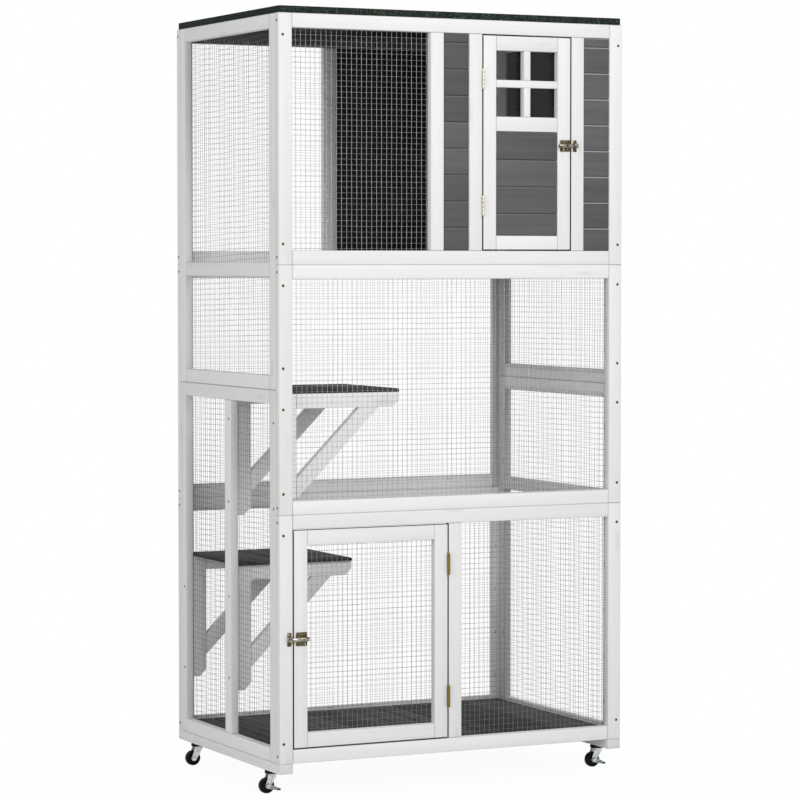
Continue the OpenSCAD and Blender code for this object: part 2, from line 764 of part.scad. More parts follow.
// Brake lever: an arm on each side of the fork, turning on the axle, joined by the pedal
module brake_lever() {
    y0 = cheek_y + cheek_t + 0.3;
    low = -lever_drop - 3;
    p = lever_reach - 9;
    translate([-trail, 0, wheel_r]) {
        for (y = [-y0, y0 + lever_t]) translate([0, y, 0]) rotate([90, 0, 0]) linear_extrude(lever_t) difference() {
            union() {
                circle(r = boss_r);
                polygon([
                    boss_r * [cos(60), sin(60)], [lever_reach, -lever_drop], [lever_reach, low], [p, low],
                    boss_r * [cos(-110), sin(-110)]
                ]);
            }
            circle(d = axle_d + 2 * running_gap);
        }
        translate([p, -y0 - lever_t, low]) cube([9, 2 * (y0 + lever_t), 3]);
    }
}

module brake_lever_fl() color(zinc) place() translate([caster_x, caster_in, 0]) brake_lever();

module brake_lever_fr() color(zinc) place() translate([frame_w - caster_x, caster_in, 0]) brake_lever();

bearers();
front_frame_top();
front_frame_middle();
front_frame_bottom();
back_frame_top();
back_frame_middle();
back_frame_bottom();
left_frame_upper();
left_frame_lower();
right_frame_upper();
right_frame_lower();
mesh_front_bay();
mesh_front_middle();
mesh_front_bottom();
mesh_back();
mesh_left_upper();
mesh_left_lower();
mesh_right_upper();
mesh_right_lower();
front_planks();
back_planks();
right_planks();
house_floor();
floor_cleats();
roof_board();
roof_felt();
floor_boards();
upper_shelf();
lower_shelf();
shelf_brackets();
hinge_post_leaves();
latch_keepers();
caster_tops();
house_door_frame();
house_door_bars();
house_door_pane();
house_door_planks();
house_door_leaves();
house_latch_body();
house_bolt();
lower_door_frame();
lower_door_mesh();
lower_door_leaves();
lower_latch_body();
lower_bolt();
caster_fork_fl();
caster_fork_fr();
caster_fork_rl();
caster_fork_rr();
caster_wheel_fl();
caster_wheel_fr();
caster_wheel_rl();
caster_wheel_rr();
brake_lever_fl();
brake_lever_fr();
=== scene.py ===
# Outdoor cat house on casters: finishes, wire net, screws and fittings on its CAD frame.
import json
import math
import random

import bmesh
import bpy
from mathutils import Matrix, Vector, noise


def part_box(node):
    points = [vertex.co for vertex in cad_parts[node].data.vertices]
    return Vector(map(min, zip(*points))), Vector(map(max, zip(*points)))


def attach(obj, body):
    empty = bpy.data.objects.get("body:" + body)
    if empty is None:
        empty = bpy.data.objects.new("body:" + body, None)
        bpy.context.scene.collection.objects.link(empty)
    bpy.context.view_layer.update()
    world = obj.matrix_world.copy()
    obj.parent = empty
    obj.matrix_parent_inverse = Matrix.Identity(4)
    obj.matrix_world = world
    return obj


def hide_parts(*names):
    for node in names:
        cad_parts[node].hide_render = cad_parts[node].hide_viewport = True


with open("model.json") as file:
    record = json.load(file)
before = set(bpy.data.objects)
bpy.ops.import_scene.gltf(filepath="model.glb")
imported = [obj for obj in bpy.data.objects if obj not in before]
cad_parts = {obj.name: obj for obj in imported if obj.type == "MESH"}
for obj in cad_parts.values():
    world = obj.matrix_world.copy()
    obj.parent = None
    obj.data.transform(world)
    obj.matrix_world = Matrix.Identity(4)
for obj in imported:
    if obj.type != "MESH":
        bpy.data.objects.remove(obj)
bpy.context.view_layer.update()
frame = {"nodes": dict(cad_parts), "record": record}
nodes = frame["nodes"]

# ---------------------------------------------------------------------------
# Camera: it stands well off to the front left of the house, a little above the middle of the run,
# with the long lens of a shop photograph.
camera_data = bpy.data.cameras.new("camera")
camera_data.lens = 140.06
camera_data.sensor_width = 36
camera_data.clip_end = 100
camera = bpy.data.objects.new("camera", camera_data)
camera.location = (-3.2842, -6.7136, 1.2184)
camera.rotation_euler = (math.radians(87.436), 0, math.radians(-26.119))
bpy.context.scene.collection.objects.link(camera)
bpy.context.scene.camera = camera
bpy.context.scene.view_settings.view_transform = "Standard"

# ---------------------------------------------------------------------------
# Lamps: a broad soft lamp high in front of the doors makes the front the brightest side and lets the
# undersides fall darker, and a weak one on the left leaves that side in light shade.
middle_of_run = Vector((0, 0, 0.9))


def soft_lamp(name, place, size, watts):
    """A square lamp aimed at the middle of the run."""
    data = bpy.data.lights.new(name, "AREA")
    data.size = size
    data.energy = watts
    lamp = bpy.data.objects.new(name, data)
    lamp.location = place
    lamp.rotation_euler = (middle_of_run - Vector(place)).to_track_quat("-Z", "Y").to_euler()
    bpy.context.scene.collection.objects.link(lamp)


soft_lamp("lamp_front", place=(0.4, -5.3, 4.6), size=2.4, watts=172)
soft_lamp("lamp_left", place=(-5.4, -2.4, 2.6), size=2.5, watts=55)

# ---------------------------------------------------------------------------
# Room and floor: the plain white sweep of a studio. The camera and reflections see it as white, and
# the floor keeps part of the soft shadow under the run.


class Socket:
    """An output of a node. Sums and products of it add Math nodes."""

    def __init__(self, finish, output):
        self.finish = finish
        self.output = output

    def math(self, operation, *values):
        return self.finish.node("ShaderNodeMath", {"operation": operation}, dict(enumerate(values)))

    def __add__(self, other):
        return self.math("ADD", self, other)

    def __radd__(self, other):
        return self.math("ADD", other, self)

    def __sub__(self, other):
        return self.math("SUBTRACT", self, other)

    def __rsub__(self, other):
        return self.math("SUBTRACT", other, self)

    def __mul__(self, other):
        return self.math("MULTIPLY", self, other)


class Finish:
    """The nodes of one material, or of the room."""

    def __init__(self, holder):
        self.holder = holder
        holder.use_nodes = True
        self.tree = holder.node_tree
        self.tree.nodes.clear()

    def node(self, kind, settings=None, values=None, output=0):
        made = self.tree.nodes.new(kind)
        for name, setting in (settings or {}).items():
            setattr(made, name, setting)
        for key, value in (values or {}).items():
            if isinstance(value, Socket):
                self.tree.links.new(value.output, made.inputs[key])
            else:
                made.inputs[key].default_value = value
        return Socket(self, made.outputs[output]) if made.outputs else None

    def place(self):
        """Where a point lies on the object, in metres."""
        return self.node("ShaderNodeTexCoord", None, None, "Object")

    def axis(self, place, letter):
        """One coordinate of a place."""
        return self.node("ShaderNodeSeparateXYZ", None, {0: place}, letter)

    def marked(self, name, output="Fac"):
        """A value that the mesh carries under this name."""
        return self.node("ShaderNodeAttribute", {"attribute_name": name}, None, output)

    def stretched(self, place, scale):
        return self.node("ShaderNodeVectorMath", {"operation": "MULTIPLY"}, {0: place, 1: scale})

    def mottle(self, place, scale, detail):
        """Smooth noise about 0.5."""
        return self.node("ShaderNodeTexNoise", None, {"Vector": place, "Scale": scale, "Detail": detail})

    def cells(self, place, scale, output="Distance"):
        """Random cells: how far the nearest middle is, or the cell's own colour."""
        return self.node("ShaderNodeTexVoronoi", None, {"Vector": place, "Scale": scale}, output)

    def between(self, value, low, high):
        """0 below low, 1 above high."""
        return self.node(
            "ShaderNodeMapRange", {"interpolation_type": "SMOOTHSTEP"},
            {"Value": value, "From Min": low, "From Max": high},
        )

    def mix(self, share, first, second):
        """A colour that goes from the first to the second as the share goes from 0 to 1."""
        first, second = (c + (1,) if isinstance(c, tuple) else c for c in (first, second))
        return self.node("ShaderNodeMix", {"data_type": "RGBA"}, {0: share, 6: first, 7: second}, 2)

    def bump(self, height, depth):
        return self.node("ShaderNodeBump", None, {"Height": height, "Distance": depth})

    def surface(self, **values):
        names = {
            "colour": "Base Color", "roughness": "Roughness", "metal": "Metallic", "normal": "Normal",
            "clear": "Transmission Weight", "ior": "IOR", "specular": "Specular IOR Level",
        }
        self.finished(self.node("ShaderNodeBsdfPrincipled", None, {names[k]: v for k, v in values.items()}))
        return self.holder

    def finished(self, shader, kind="ShaderNodeOutputMaterial"):
        self.node(kind, None, {"Surface": shader})


def seen_directly(finish):
    """1 for what the camera, a reflection or a clear pane sees, 0 for what lights the object."""
    by_camera, mirrored, through_pane = (
        finish.node("ShaderNodeLightPath", None, None, f"Is {ray} Ray")
        for ray in ("Camera", "Glossy", "Transmission")
    )
    return by_camera.math("MAXIMUM", by_camera.math("MAXIMUM", by_camera, mirrored), through_pane)


white = (1, 1, 1, 1)
room = Finish(bpy.data.worlds.new("room"))
bpy.context.scene.world = room.holder
room_light = room.node("ShaderNodeBackground", None, {"Color": white, "Strength": 0.5})
room_white = room.node("ShaderNodeBackground", None, {"Color": white, "Strength": 1.0})
room.finished(
    room.node("ShaderNodeMixShader", None, {0: seen_directly(room), 1: room_light, 2: room_white}),
    "ShaderNodeOutputWorld",
)

grid = bmesh.new()
bmesh.ops.create_grid(grid, x_segments=8, y_segments=8, size=30)
floor_mesh = bpy.data.meshes.new("floor")
grid.to_mesh(floor_mesh)
grid.free()
floor = bpy.data.objects.new("floor", floor_mesh)
bpy.context.scene.collection.objects.link(floor)
sweep = Finish(bpy.data.materials.new("white_sweep"))
sweep_matt = sweep.node("ShaderNodeBsdfDiffuse", None, {"Color": (0.9, 0.9, 0.9, 1)})
sweep_white = sweep.node("ShaderNodeEmission", None, {"Color": white, "Strength": 1.0})
from_middle = sweep.node("ShaderNodeVectorMath", {"operation": "LENGTH"}, {0: sweep.place()}, "Value")
# Under the run 0.96 of the floor is plain white, and from 1 m out all of it.
sweep_share = sweep.between(from_middle, 0.3, 1.0) * 0.04 + 0.96
sweep.finished(sweep.node(
    "ShaderNodeMixShader", None, {0: seen_directly(sweep) * sweep_share, 1: sweep_matt, 2: sweep_white}
))
floor_mesh.materials.append(sweep.holder)

# ---------------------------------------------------------------------------
# Panel frames: planed softwood sticks, screwed together edge to edge and brushed with thin white
# wash. Each stick gets its arrises eased and a grain that runs along it.


def body_of(node):
    return next(body for body, held in frame["record"]["behaviour"]["bodies"].items() if node in held)


def loose_parts(bm):
    """The vertices of each separate stick, board or fitting."""
    left = set(bm.verts)
    parts = []
    for start in bm.verts:
        if start not in left:
            continue
        left.remove(start)
        part = [start]
        for vertex in part:
            for edge in vertex.link_edges:
                other = edge.other_vert(vertex)
                if other in left:
                    left.remove(other)
                    part.append(other)
        parts.append(part)
    return parts


def piece(name, bm, finish, body, *replaced):
    """Turns a bmesh into a piece that rides on a body."""
    mesh = bpy.data.meshes.new(name)
    bm.to_mesh(mesh)
    bm.free()
    mesh.materials.append(finish)
    mesh.set_sharp_from_angle(angle=math.radians(40))
    made = bpy.data.objects.new(name, mesh)
    bpy.context.scene.collection.objects.link(made)
    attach(made, body)
    if replaced:
        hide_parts(*replaced)
        next(s["material_slot"] for s in frame["record"]["subparts"] if s["node"] == replaced[0])
    return made


def mark_door_gap(bm, gap, node, door):
    """Marks the faces that look into the gap round a door, on the door or on the frame about it, for painted
    shade.
    """
    low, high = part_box(door)
    if node != door:
        for side in (low, high):
            everything = bm.verts[:] + bm.edges[:] + bm.faces[:]
            bmesh.ops.bisect_plane(bm, geom=everything, plane_co=side, plane_no=(1, 0, 0))
    reach = 0.004
    for f in bm.faces:
        x, _, z = f.calc_center_median()
        beside = min(abs(x - low.x), abs(x - high.x), abs(z - low.z), abs(z - high.z))
        within = low.x - reach < x < high.x + reach and low.z - reach < z < high.z + reach
        f[gap] = 1.0 if within and beside < reach and abs(f.normal.y) < 0.5 else 0.0


def eased(
    node, finish, arris, smooth=False, door=None, seam_shade=1.0, inward=None, beyond=(-1, -1, -1), share=1.0
):
    """A copy of a CAD node with rounded arrises, shown in its place. Its faces are marked for the wood:
    ends, arrises (painted shade at the seams), slopes for dust and a painted highlight, the gap round a
    door for painted shade, and inner faces past the corner given by beyond (painted shade on white sticks)."""
    bm = bmesh.new()
    bm.from_mesh(nodes[node].data)
    grain = bm.verts.layers.float_vector.new("grain")
    tone = bm.verts.layers.float.new("tone")
    end, inner, edge, gap, dust_and_highlight = (
        bm.faces.layers.float.new(mark) for mark in ("end", "inner", "arris", "gap", "dust_and_highlight")
    )
    bmesh.ops.remove_doubles(bm, verts=bm.verts, dist=1e-5)
    bmesh.ops.dissolve_limit(bm, angle_limit=math.radians(1), verts=bm.verts, edges=bm.edges)
    sharp = [e for e in bm.edges if e.is_manifold and e.calc_face_angle_signed(0) > math.radians(35)]
    rounded = bmesh.ops.bevel(
        bm, geom=sharp, offset=arris, affect="EDGES", segments=2, profile=0.5, material=-1, clamp_overlap=True
    )
    foot, top = (corner.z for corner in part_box(node))
    # Arrises at the node's foot or top lie at the seams between stacked panels; seam_shade scales their
    # darkening there as painted shade in the groove.
    near_seam = 0.0012
    for f in rounded["faces"]:
        height = f.calc_center_median().z
        f[edge] = seam_shade if min(height - foot, top - height) < near_seam else 1.0
    if door:
        mark_door_gap(bm, gap, node, door)
    right_strip = 0.34  # right of the house door the painted highlight and the dust on slopes are stronger
    chance = random.Random(node)
    for part in loose_parts(bm):
        longest = max([e for v in part for e in v.link_edges], key=lambda e: round(e.calc_length(), 5))
        along = (longest.verts[1].co - longest.verts[0].co).normalized()
        side = along.orthogonal().normalized() if abs(along.z) < 0.999 else Vector((1, 0, 0))
        third = along.cross(side)
        shift = Vector((chance.uniform(0, 30), chance.uniform(0, 9), chance.uniform(0, 9)))
        shade = chance.random()
        for v in part:
            v[grain] = Vector((v.co.dot(along), v.co.dot(side), v.co.dot(third))) + shift
            v[tone] = shade
        # Faces sloping up to the front get a grey: on the grey boards a painted highlight where light from
        # above catches the V joints, on the white sticks dust.
        dust_and_highlight_share = 0.85 if part[0].co.x > right_strip else 0.2
        for f in {f for v in part for f in v.link_faces}:
            f[dust_and_highlight] = dust_and_highlight_share if f.normal.z > 0.3 and f.normal.y < -0.3 else 0.0
            f[end] = 1.0 if abs(f.normal.dot(along)) > 0.8 else 0.0
            # On the white sticks the inner mark carries painted shade; on the boards it carries their stain.
            facing = f.normal.dot(Vector(inward)) if inward else 0.0
            inside = facing > 0.3 and all(c > limit for c, limit in zip(f.calc_center_median(), beyond))
            f[inner] = facing * share if inside else 0.0
            f.smooth = smooth
    piece(f"{node}_eased", bm, finish, body_of(node), node)


def washed_wood(name, pale, deep, streak, knots, roughness, gloss, arris_wear_and_shade=0.0, back=None):
    """Thin wash over softwood: fine fibres and broad bands along the grain, some knots, darker ends, and
    arrises darker as wear and, at seams between panels, as painted shade. The gap round a door is painted
    dark as shade. Where back is given, inner faces take it, a stain on the grey boards and painted shade on
    the white sticks, and faces that slope up to the front take a grey: a painted highlight on the grey
    boards, dust on the white sticks."""
    wash = Finish(bpy.data.materials.new(name))
    grain = wash.marked("grain", "Vector")
    fibre_scale, band_scale, knot_scale = (14, 900, 900), (2.5, 70, 70), (4, 16, 16)  # along, across, across
    fibres = wash.mottle(wash.stretched(grain, fibre_scale), 1, 3)
    bands = wash.mottle(wash.stretched(grain, band_scale), 1, 5)
    worn = wash.between(wash.mottle(grain, 9, 5), 0.62, 0.8)
    in_knot = (1 - wash.between(wash.cells(wash.stretched(grain, knot_scale), 1), 0.03, 0.16)) * knots
    figure = (bands - 0.5) * 0.9 + (fibres - 0.5) * 0.5 + (wash.marked("tone") - 0.5) * 0.5 + 0.5

    def deeper(part):
        return tuple(part * c for c in deep)

    # Painted shade in the gap round a door.
    gap_shade = (0.075, 0.070, 0.064)
    colour = wash.mix(wash.between(figure, 0.5 - streak, 0.5 + streak), deep, pale)
    colour = wash.mix(worn * 0.25, colour, deep)
    colour = wash.mix(in_knot, colour, deeper(0.6))
    colour = wash.mix(wash.marked("end") * 0.45, colour, deeper(0.75))
    # Darker arrises: wear, and painted shade at the seams between panels.
    colour = wash.mix(wash.marked("arris") * arris_wear_and_shade, colour, deeper(0.5))
    colour = wash.mix(wash.marked("gap"), colour, gap_shade)
    if back:
        # Painted highlight on the grey boards' slopes, dust on the white sticks.
        grey_dust_and_highlight = (0.42, 0.42, 0.42)
        colour = wash.mix(wash.marked("dust_and_highlight"), colour, grey_dust_and_highlight)
        # Inner faces: painted shade on the white sticks, a stain on the grey boards.
        colour = wash.mix(wash.marked("inner"), colour, back)
    return wash.surface(
        colour=colour, roughness=roughness + (fibres - 0.5) * 0.2, specular=gloss,
        normal=wash.bump(bands * 0.6 + fibres * 0.4, 0.0003),
    )


# On the white sticks, back is painted shade for the inner faces that eased marks.
whitewash = washed_wood(
    "whitewash", pale=(0.865, 0.865, 0.865), deep=(0.755, 0.755, 0.75), streak=0.6, knots=0.25,
    roughness=0.65, gloss=0.35, arris_wear_and_shade=0.25, back=(0.11, 0.11, 0.11),
)
# Painted shade darkens the back panels inside under the roof and at the right corner under the house
# floor, and the right side's rear stile too, whose seams, like the left panels', get stronger painted shade.
rear_stile = {"inward": (-0.5, -1, 0), "beyond": (-1, 0.249, -1), "seam_shade": 3.0}
for panel, marks in {
    "front_frame_top": {"door": "house_door_frame"},
    "front_frame_middle": {},
    "front_frame_bottom": {"door": "lower_door_frame"},
    "back_frame_top": {"inward": (0, -1, 0), "beyond": (-1, -1, 1.74)},
    "back_frame_middle": {"inward": (0, -1, 0), "beyond": (0.409, -1, -1), "share": 0.35},
    "back_frame_bottom": {},
    # The left panels get stronger painted shade at their seams.
    "left_frame_upper": {"seam_shade": 3.0},
    "left_frame_lower": {"seam_shade": 3.0},
    "right_frame_upper": {**rear_stile, "share": 0.65},
    "right_frame_lower": {**rear_stile, "share": 0.5},
}.items():
    eased(panel, whitewash, arris=0.0014, **marks)

# ---------------------------------------------------------------------------
# Frame screws: small gilt cross-head screws. They hold the front and back panels to the side panels
# through the stiles, and each panel's stiles to its rails from the edge.


def from_corner(x, y, z):
    """A place measured in millimetres from the front left corner of the frames."""
    return Vector((x - 445, y - 302.5, z)) / 1000  # half the frames' width and depth


def verts_of(made):
    """The vertices among the geometry that an operator made."""
    return [g for g in made["geom"] if isinstance(g, bmesh.types.BMVert)]


gilt = Finish(bpy.data.materials.new("screw_gilt"))
# The dark middle colour is painted shade of the sunken cross.
screw_gilt = gilt.surface(
    colour=gilt.mix(gilt.marked("middle"), (0.34, 0.21, 0.06), (0.02, 0.012, 0.006)), metal=0.9, roughness=0.35
)

# One head of radius 1: a disc from a grid, domed, with a turned-down rim and a sunken cross. Its middle
# is painted darker than its rim: painted shade of the sunken cross.
head = bmesh.new()
bmesh.ops.create_grid(head, x_segments=5, y_segments=5, size=0.8)
for v in head.verts:
    if v.is_boundary:
        v.co = v.co.normalized()
slot_shade = head.verts.layers.float.new("middle")
rim = bmesh.ops.extrude_edge_only(head, edges=[e for e in head.edges if e.is_boundary])
dome_foot, dome_rise, slot_floor, rim_foot = 0.06, 0.2, 0.03, -0.2
for v in head.verts:
    v[slot_shade] = 1.0 if v.co.length < 0.62 else 0.0
    v.co.z = dome_foot + dome_rise * (1 - v.co.length_squared)
for v in verts_of(rim):
    v.co.z = rim_foot
cross = [
    f for f in head.faces
    if len(f.verts) == 4 and min(abs(f.calc_center_median().x), abs(f.calc_center_median().y)) < 0.05
    and f.calc_center_median().xy.length < 0.45 and abs(f.normal.z) > 0.7
]
for v in verts_of(bmesh.ops.extrude_face_region(head, geom=cross)):
    v.co = Vector((v.co.x * 0.7, v.co.y * 0.7, slot_floor))
bmesh.ops.delete(head, geom=cross, context="FACES_ONLY")
bmesh.ops.recalc_face_normals(head, faces=head.faces)
screw_mesh = bpy.data.meshes.new("cross_head")
head.to_mesh(screw_mesh)
head.free()


def add_screws(bm, places, outward, radius):
    """Screw heads at these places, each turned a different way."""
    chance = random.Random(f"{len(bm.verts)}{outward}")
    face_out = Vector(outward).to_track_quat("Z", "Y").to_matrix().to_4x4()
    for place in places:
        first = len(bm.verts)
        bm.from_mesh(screw_mesh)
        bm.verts.ensure_lookup_table()
        turn = Matrix.Rotation(chance.uniform(0, math.tau), 4, "Z")
        to_place = Matrix.Translation(place) @ face_out @ turn @ Matrix.Scale(radius, 4)
        bmesh.ops.transform(bm, matrix=to_place, verts=bm.verts[first:])


screws = bmesh.new()
frame_width, frame_depth = 890, 605
in_stile, in_rail = 11, 9  # how far the screws stand from the frames' corners
stile_heights = (1726, 1256, 1162, 975, 882, 691, 597, 123)
rail_heights = (1758, 1226, 1192, 660, 626, 94)
for y, outward in ((0, (0, -1, 0)), (frame_depth, (0, 1, 0))):
    places = [from_corner(x, y, z) for x in (in_stile, frame_width - in_stile) for z in stile_heights]
    add_screws(screws, places, outward, radius=0.0035)
for x, outward in ((0, (-1, 0, 0)), (frame_width, (1, 0, 0))):
    places = [from_corner(x, y, z) for y in (in_rail, frame_depth - in_rail) for z in rail_heights]
    add_screws(screws, places, outward, radius=0.0035)
piece("frame_screws", screws, screw_gilt, "run")

# ---------------------------------------------------------------------------
# Bearers: two sticks laid flat under the side panels, in the same white wash, which carry the
# casters.
eased("bearers", whitewash, arris=0.0009)

# ---------------------------------------------------------------------------
# Planks: tongue-and-groove boards in a flat grey, with a V along each joint and a near-black stain on
# the inside. They close the bays beside the house door, the back and the right side of the house.
grey_wash = washed_wood(
    "grey_wash", pale=(0.126, 0.126, 0.126), deep=(0.078, 0.078, 0.078), streak=0.5, knots=0.2,
    roughness=0.6, gloss=0.2, back=(0.016, 0.016, 0.017),
)
into_house = {"front_planks": (0, 1, 0), "back_planks": (0, -1, 0), "right_planks": (-1, 0, 0)}
# The upper slopes of the V joints get a painted highlight, set in washed_wood.
for planks, inward in into_house.items():
    eased(planks, grey_wash, arris=0.0004, inward=inward)

# ---------------------------------------------------------------------------
# House floor, the floor of the run, and the shelves: thin boards, stained dark with the grain showing
# through, laid side by side on white cleats or brackets.
dark_stain = washed_wood(
    "dark_stain", pale=(0.078, 0.077, 0.076), deep=(0.024, 0.024, 0.024), streak=0.3, knots=0.6,
    roughness=0.75, gloss=0.08,
)
for boards in ("house_floor", "floor_boards", "upper_shelf", "lower_shelf"):
    eased(boards, dark_stain, arris=0.0004)
eased("floor_cleats", whitewash, arris=0.0006)

# ---------------------------------------------------------------------------
# Shelf brackets: two arms and a slanted brace of the same white sticks, held by screws that come in
# through the side panel from outside.
eased("shelf_brackets", whitewash, arris=0.0008)
screws = bmesh.new()
behind_brackets = ((30, 851), (30, 656), (290, 849), (290, 655), (290, 432), (290, 240), (564, 430), (564, 234))
add_screws(screws, [from_corner(0, y, z) for y, z in behind_brackets], (-1, 0, 0), radius=0.0033)
piece("bracket_screws", screws, screw_gilt, "run")

# ---------------------------------------------------------------------------
# Roof: a thin board under mineral felt, which is folded down over the edges and held by flat-headed
# zinc nails. The felt is green-black with pale grit.
eased("roof_board", dark_stain, arris=0.0006)
felt = Finish(bpy.data.materials.new("mineral_felt"))
grit_scale = 520
grit_pick = felt.node("ShaderNodeSeparateColor", None, {0: felt.cells(felt.place(), grit_scale, "Color")}, 0)
grit_near = felt.cells(felt.place(), grit_scale)
pale_grit = felt.between(grit_pick, 0.80, 0.86) * (1 - felt.between(grit_near, 0.35, 0.55))
felt_colour = felt.mix(felt.mottle(felt.place(), 40, 4), (0.008, 0.012, 0.009), (0.018, 0.027, 0.021))
mineral_felt = felt.surface(
    colour=felt.mix(pale_grit * 0.75, felt_colour, (0.16, 0.24, 0.19)), roughness=0.95, specular=0.2,
    normal=felt.bump(1 - grit_near, 0.0005),
)
eased("roof_felt", mineral_felt, arris=0.0008)


def tinted_metal(name, bright, dull, roughness, metal=0.9, scale=180):
    """Plated metal with a mottled, handled surface."""
    plate = Finish(bpy.data.materials.new(name))
    cloud = plate.mottle(plate.place(), scale, 5)
    scratch = plate.mottle(plate.stretched(plate.place(), (300, 300, 2600)), 1, 2)
    return plate.surface(
        colour=plate.mix(plate.between(cloud, 0.35, 0.68), dull, bright), metal=metal,
        roughness=roughness + (cloud - 0.5) * 0.3 + (scratch - 0.5) * 0.15, normal=plate.bump(scratch, 0.00004),
    )


zinc = tinted_metal("zinc", (0.78, 0.82, 0.79), (0.30, 0.33, 0.32), roughness=0.22, metal=0.95, scale=420)
nails = bmesh.new()
felt_top, from_rim = 1790.9, 16
nail_places = [(x, y) for y in (from_rim, frame_depth - from_rim) for x in range(25, 880, 120)]
nail_places += [(x, y) for x in (from_rim, frame_width - from_rim) for y in range(105, 540, 100)]
for x, y in nail_places:
    bmesh.ops.create_cone(
        nails, cap_ends=True, segments=16, radius1=0.0045, radius2=0.0040, depth=0.0008,
        matrix=Matrix.Translation(from_corner(x, y, felt_top)),
    )
piece("felt_nails", nails, zinc, "run")

# ---------------------------------------------------------------------------
# Wire net: galvanised wire welded in 12.7 mm squares, cut to each bay with a short lap and stapled to
# the inside of the frame. The level wires lie outside, pressed a little into the wood. The wires are
# painted darker low down, on the level ones and on the two side nets: painted shade where they catch less
# light.
galvanised = Finish(bpy.data.materials.new("galvanised_wire"))
wire_cloud = galvanised.mottle(galvanised.place(), 90, 5)
shade_low_down = 1 - galvanised.between(galvanised.axis(galvanised.place(), "Z"), 0.3, 1.3)
wire_colour = galvanised.mix(galvanised.between(wire_cloud, 0.3, 0.7), (0.50, 0.51, 0.51), (0.74, 0.75, 0.74))
# Painted shade: darker low down, where the wires reflect less light.
wire_colour = galvanised.mix(shade_low_down * 0.8, wire_colour, (0.17, 0.17, 0.17))
# Painted shade: the level wires catch less light than the uprights.
wire_colour = galvanised.mix(galvanised.marked("level") * 0.5, wire_colour, (0.10, 0.10, 0.10))
# Painted shade: the side nets are lit less.
wire_colour = galvanised.mix(galvanised.marked("side_net") * 0.75, wire_colour, (0.06, 0.06, 0.06))
galvanised_wire = galvanised.surface(
    colour=wire_colour, metal=0.5, roughness=0.4 + wire_cloud * 0.25, normal=galvanised.bump(wire_cloud, 0.0001)
)
pitch = 12.7


def bendable(bm, first, upright, start, stop):
    """Cuts the wires from vertex number first on at every second square, so that they can bend."""
    wires = bm.verts[first:]
    cut = start + 4 + pitch / 2
    while cut < stop:
        edges = dict.fromkeys(e for v in wires for e in v.link_edges)
        faces = dict.fromkeys(f for v in wires for f in v.link_faces)
        bmesh.ops.bisect_plane(
            bm, geom=wires + list(edges) + list(faces), dist=1e-4,
            plane_co=(0, 0, cut) if upright else (cut, 0, 0), plane_no=(0, 0, 1) if upright else (1, 0, 0),
        )
        bm.verts.ensure_lookup_table()
        wires = bm.verts[first:]
        cut += 2 * pitch
    return wires


def net(name, across, up, to_frame, laps=(11, 11, 11, 11), skip=(), slope=0.0):
    """A net over an opening, drawn flat in millimetres with the wood's face at y = 0, then put in place
    by to_frame. laps are what it covers past the left, right, lower and upper edge, and skip holds the
    fields without staples."""
    chance = random.Random(name)
    noise.seed_set(7)
    left, right = across[0] - laps[0], across[1] + laps[1]
    foot, top = up[0] - laps[2], up[1] + laps[3]
    bm = bmesh.new()
    level = bm.verts.layers.float.new("level")
    side_net = bm.verts.layers.float.new("side_net")
    for upright in (True, False):
        low, high, start, stop = (left, right, foot, top) if upright else (foot, top, left, right)
        wire_radius, off_the_wood = (0.35, 0.36) if upright else (0.29, -0.15)
        first = len(bm.verts)
        at = low + chance.uniform(2, 5)
        while at < high - 1:
            off_line = at + chance.uniform(-0.25, 0.25)
            halfway = (start + stop) / 2
            middle = (off_line, off_the_wood, halfway) if upright else (halfway, off_the_wood, off_line)
            turn = Matrix.Identity(4) if upright else Matrix.Rotation(math.pi / 2, 4, "Y")
            bmesh.ops.create_cone(
                bm, cap_ends=True, segments=6, radius1=wire_radius, radius2=wire_radius,
                depth=stop - start - chance.uniform(0.2, 2), matrix=Matrix.Translation(middle) @ turn,
            )
            at += pitch
        bm.verts.ensure_lookup_table()
        sway, sway_scale = 0.7, 0.011  # how far the wires stray, and over what length
        for v in bendable(bm, first, upright, start, stop):
            drift = noise.noise_vector(Vector((v.co.x * sway_scale, 7 * upright, v.co.z * sway_scale))) * sway
            lift = slope * (v.co.x - (left + right) / 2)
            v.co += Vector((drift.x, 0, 0)) if upright else Vector((0, 0, drift.z + lift))
            # The level and side_net marks choose where the wires get painted shade.
            v[level] = 0.0 if upright else 1.0
            v[side_net] = 1.0 if "left" in name or "right" in name else 0.0
    for f in bm.faces:
        f.smooth = len(f.verts) == 4
    crown, leg = (9.5, 0.7, 1.1), (0.9, 1.6, 1.1)
    crown_place, leg_places = (0, 1.15, 0), ((-4.3, 0.3, 0), (4.3, 0.3, 0))
    spacing = 110
    along = range(int(left) + 45, int(right) - 20, spacing)
    upward = range(int(foot) + 60, int(top) - 30, spacing)
    staples = [(x, z, 0) for z in (foot + 3.5, top - 4) for x in along]
    staples += [(x, z, 90) for x in (left + 5, right - 5) for z in upward]
    for x, z, turn in staples:
        if any(a < x < b and c < z < d for a, b, c, d in skip):
            continue
        tilt = Matrix.Rotation(math.radians(turn + chance.uniform(-6, 6)), 4, "Y")
        driven_in = Matrix.Translation((x, 0, z)) @ tilt
        for size, place in ((crown, crown_place), *((leg, each) for each in leg_places)):
            shape = driven_in @ Matrix.Translation(place) @ Matrix.Diagonal(size + (1,))
            bmesh.ops.create_cube(bm, size=1, matrix=shape)
    bmesh.ops.transform(bm, matrix=to_frame, verts=bm.verts)
    bmesh.ops.recalc_face_normals(bm, faces=bm.faces)
    return bm


